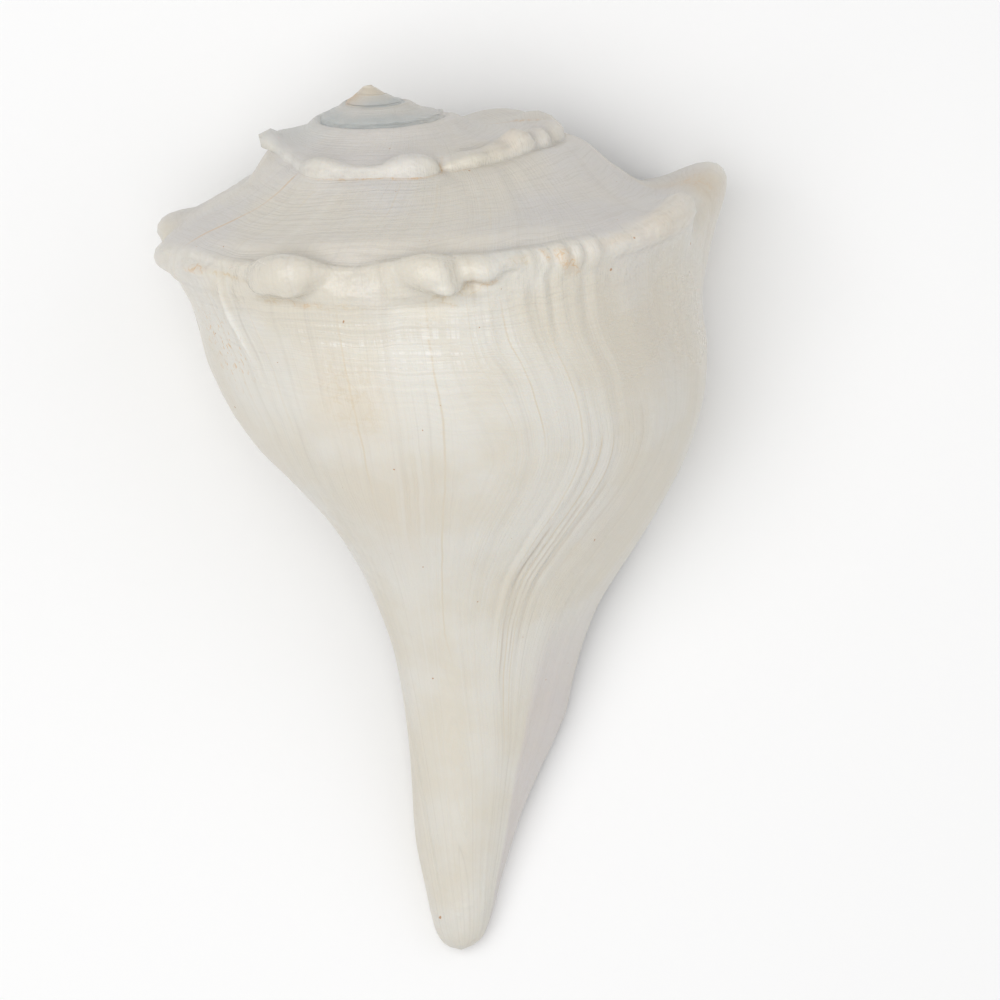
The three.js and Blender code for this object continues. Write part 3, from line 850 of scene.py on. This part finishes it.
# relief too fine for the mesh: threads along the coil, growth ripples, worn grain
weave = noise(real_place, 60.0, 2.0)
thread_vector = node("ShaderNodeCombineXYZ")
links.new(times(plain_degrees, 0.02), thread_vector.inputs["X"])
links.new(math("MULTIPLY_ADD", place_along, 150.0, times(weave, 5.0)), thread_vector.inputs["Y"])
thread = noise(thread_vector.outputs[0], 1.0, 3.0, 0.55)
below_shoulder = times(band(place_along, 0.24, 0.30), band(place_along, 0.36, 0.50, 1.25, 0.3))
threaded = math("ADD", band(place_along, 0.19, 0.23, 1.0, 0.0), below_shoulder)
ripples = times(noise(along_growth(1.4, 4.0), 1.0, 5.0, 0.62), canal_fade)
grain = noise(real_place, 700.0, 4.0, 0.6)
height = math("MULTIPLY_ADD", ripples, 0.7, times(grain, 0.25))
height = math("ADD", times(thread, threaded), height)
calm = math("SUBTRACT", 1.0, times(in_hollow, 0.85))
bump = node("ShaderNodeBump", Strength=0.45, Distance=0.0005)
links.new(times(height, calm), bump.inputs["Height"])

# thin clay-coloured lines along the threads of the ramp, where the thread noise crosses its middle
near_thread = math("ABSOLUTE", math("SUBTRACT", thread, 0.5))
thread_line = times(
    band(near_thread, 0.0, 0.035, 1.0, 0.0),
    band(place_along, 0.02, 0.05),
    band(place_along, 0.19, 0.21, 1.0, 0.0),
)
colour = tint(colour, CLAY, times(thread_line, 0.35))

# the shoulder is dented and pitted, and so is the canal's end
dents = noise(real_place, 210.0, 3.0, 0.55)
dented = times(band(place_along, 0.20, 0.225), band(place_along, 0.27, 0.31, 1.0, 0.0))
dented = math("ADD", dented, band(place_along, 0.90, 0.96, 0.0, 0.8))
dent_bump = node("ShaderNodeBump", Strength=0.6, Distance=0.0014)
links.new(times(dents, dented, calm), dent_bump.inputs["Height"])
links.new(bump.outputs[0], dent_bump.inputs["Normal"])

# a soft gloss, more on the shoulder and the upper body
glossy = times(band(place_along, 0.205, 0.23), band(place_along, 0.38, 0.46, 1.0, 0.0))
roughness = math("SUBTRACT", band(cloud, 0.3, 0.7, 0.36, 0.50), times(glossy, 0.12))
roughness = math("SUBTRACT", roughness, times(glints, 0.12))

surface = node("ShaderNodeBsdfPrincipled", IOR=1.53)
surface.inputs["Specular IOR Level"].default_value = 0.38
surface.inputs["Coat Weight"].default_value = 0.10
surface.inputs["Coat Roughness"].default_value = 0.17
surface.inputs["Subsurface Weight"].default_value = 0.12
surface.inputs["Subsurface Radius"].default_value = (1.0, 0.75, 0.5)
surface.inputs["Subsurface Scale"].default_value = 0.002
links.new(colour, surface.inputs["Base Color"])
links.new(roughness, surface.inputs["Roughness"])
links.new(dent_bump.outputs[0], surface.inputs["Normal"])
output = node("ShaderNodeOutputMaterial")
links.new(surface.outputs[0], output.inputs["Surface"])
mesh.materials.append(finish)

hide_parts("shell")
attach(shell, "root")

# ---------------------------------------------------------------------------------------------
# Where it is shown: a pale floor under soft studio light, seen from straight above.
# ---------------------------------------------------------------------------------------------
REACH = 3.0  # m
floor_corners = [(-REACH, -REACH, 0), (REACH, -REACH, 0), (REACH, REACH, 0), (-REACH, REACH, 0)]
floor_mesh = bpy.data.meshes.new("floor")
floor_mesh.from_pydata(floor_corners, [], [(0, 1, 2, 3)])
floor = bpy.data.objects.new("floor", floor_mesh)
bpy.context.scene.collection.objects.link(floor)
paper = bpy.data.materials.new("paper")
paper.use_nodes = True
paper_surface = paper.node_tree.nodes["Principled BSDF"]
paper_surface.inputs["Base Color"].default_value = (0.96, 0.96, 0.96, 1)
paper_surface.inputs["Roughness"].default_value = 0.9
floor_mesh.materials.append(paper)

CAMERA_TURN = 6.3  # degrees, round its own view
CAMERA_LENS = 300  # mm
SENSOR = 36
MID_HEIGHT = 0.04  # m: the plane in which the frame is FRAME_WIDTH across
FRAME_WIDTH = 0.195
camera_data = bpy.data.cameras.new("camera")
camera_data.lens = CAMERA_LENS
camera_data.sensor_width = SENSOR
camera = bpy.data.objects.new("camera", camera_data)
bpy.context.scene.collection.objects.link(camera)
bpy.context.scene.camera = camera
camera.location = (0.00535, 0.0018, MID_HEIGHT + FRAME_WIDTH * CAMERA_LENS / SENSOR)
camera.rotation_euler = (0, 0, -CAMERA_TURN * DEG)
camera_data.clip_start, camera_data.clip_end = 0.01, 20


def soft_light(name, place, size, power):
    """A square area light at a place, in m, that faces the shell."""
    data = bpy.data.lights.new(name, "AREA")
    data.size = size
    data.energy = power
    made = bpy.data.objects.new(name, data)
    made.location = place
    to_shell = -np.array(place) / np.linalg.norm(place)
    made.rotation_euler = (np.arccos(-to_shell[2]), 0, np.arctan2(-to_shell[0], to_shell[1]))
    bpy.context.scene.collection.objects.link(made)


soft_light("key", (-0.26, 0.0, 0.95), 0.8, 5.2)
soft_light("fill", (0.65, 0.1, 0.7), 0.9, 1.0)
world = bpy.data.worlds.new("studio")
bpy.context.scene.world = world
world.use_nodes = True
world.node_tree.nodes["Background"].inputs["Color"].default_value = (1, 1, 1, 1)
world.node_tree.nodes["Background"].inputs["Strength"].default_value = 0.52

bpy.context.scene.view_settings.view_transform = "Standard"
